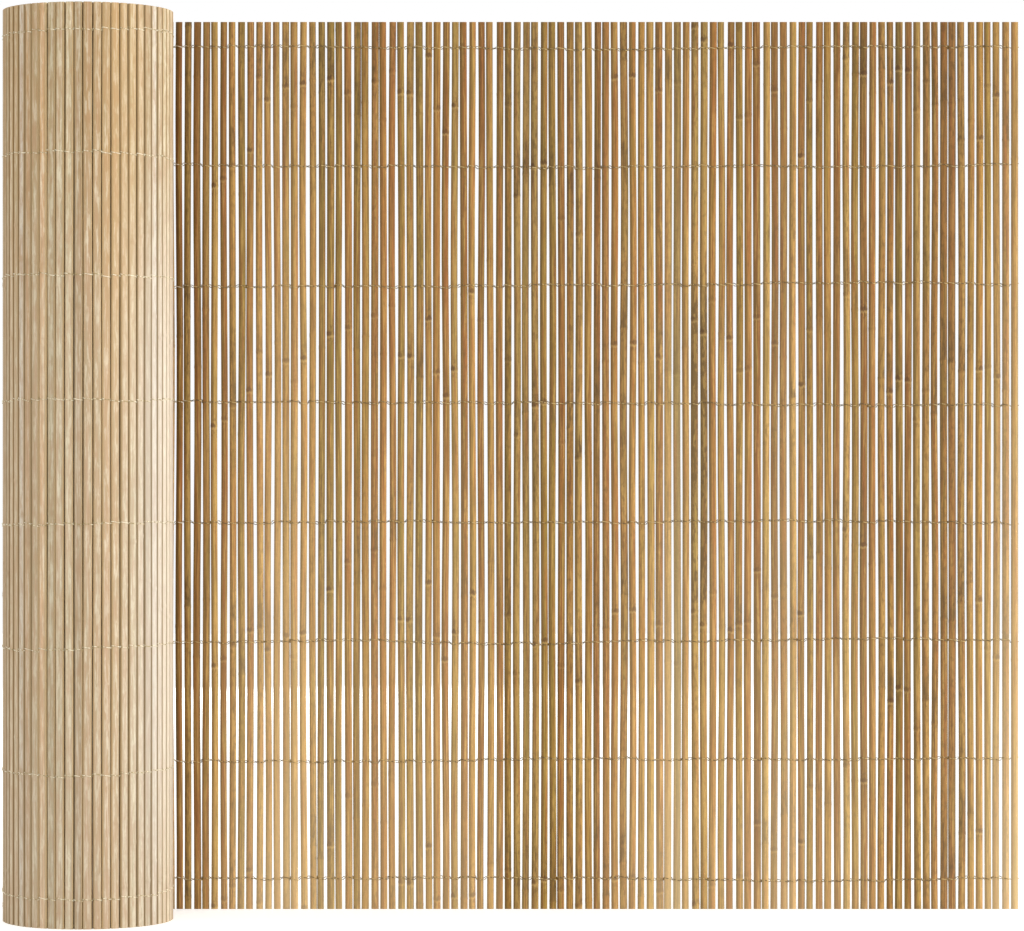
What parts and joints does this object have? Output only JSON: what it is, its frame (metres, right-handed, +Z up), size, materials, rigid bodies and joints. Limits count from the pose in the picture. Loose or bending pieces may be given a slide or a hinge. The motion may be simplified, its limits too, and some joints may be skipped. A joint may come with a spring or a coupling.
{
  "type": "bamboo fence panel",
  "caption": "Split-bamboo screen of upright slats bound by rows of twisted wire, standing on end with one end still rolled up.",
  "frame": {"origin": "bottom centre of the whole part's bounding box", "axes": "+Z up along the slats, +X from the roll to the free end of the panel, +Y towards the flat split side of the flat run"},
  "size_m": [1.1334, 0.1926, 1],
  "materials": {
    "bark_side": "weathered bamboo bark, brown to olive, satin",
    "split_side": "pale split bamboo, fibrous and matt",
    "binding_wire": "dull galvanised wire"
  },
  "bodies": {
    "root": {"panel_slats_01": "bark_side", "panel_slats_02": "bark_side", "panel_slats_03": "bark_side", "panel_slats_04": "bark_side", "panel_slats_05": "bark_side", "panel_slats_06": "bark_side", "panel_slats_07": "bark_side", "panel_slats_08": "bark_side", "panel_slats_09": "bark_side", "panel_slats_10": "bark_side", "panel_slats_11": "bark_side", "panel_slats_12": "bark_side", "panel_slats_13": "bark_side", "panel_slats_14": "bark_side", "panel_slats_15": "bark_side", "panel_slats_16": "bark_side", "panel_slats_17": "bark_side", "panel_slats_18": "bark_side", "panel_slats_19": "bark_side", "panel_slats_20": "bark_side", "panel_slats_21": "bark_side", "panel_slats_22": "bark_side", "panel_slats_23": "bark_side", "panel_slats_24": "bark_side", "panel_slats_25": "bark_side", "panel_slats_26": "bark_side", "rolled_turns": "split_side", "binding_wire_1": "binding_wire", "binding_wire_2": "binding_wire", "binding_wire_3": "binding_wire", "binding_wire_4": "binding_wire", "binding_wire_5": "binding_wire", "binding_wire_6": "binding_wire", "binding_wire_7": "binding_wire", "binding_wire_8": "binding_wire"}
  },
  "joints": []
}
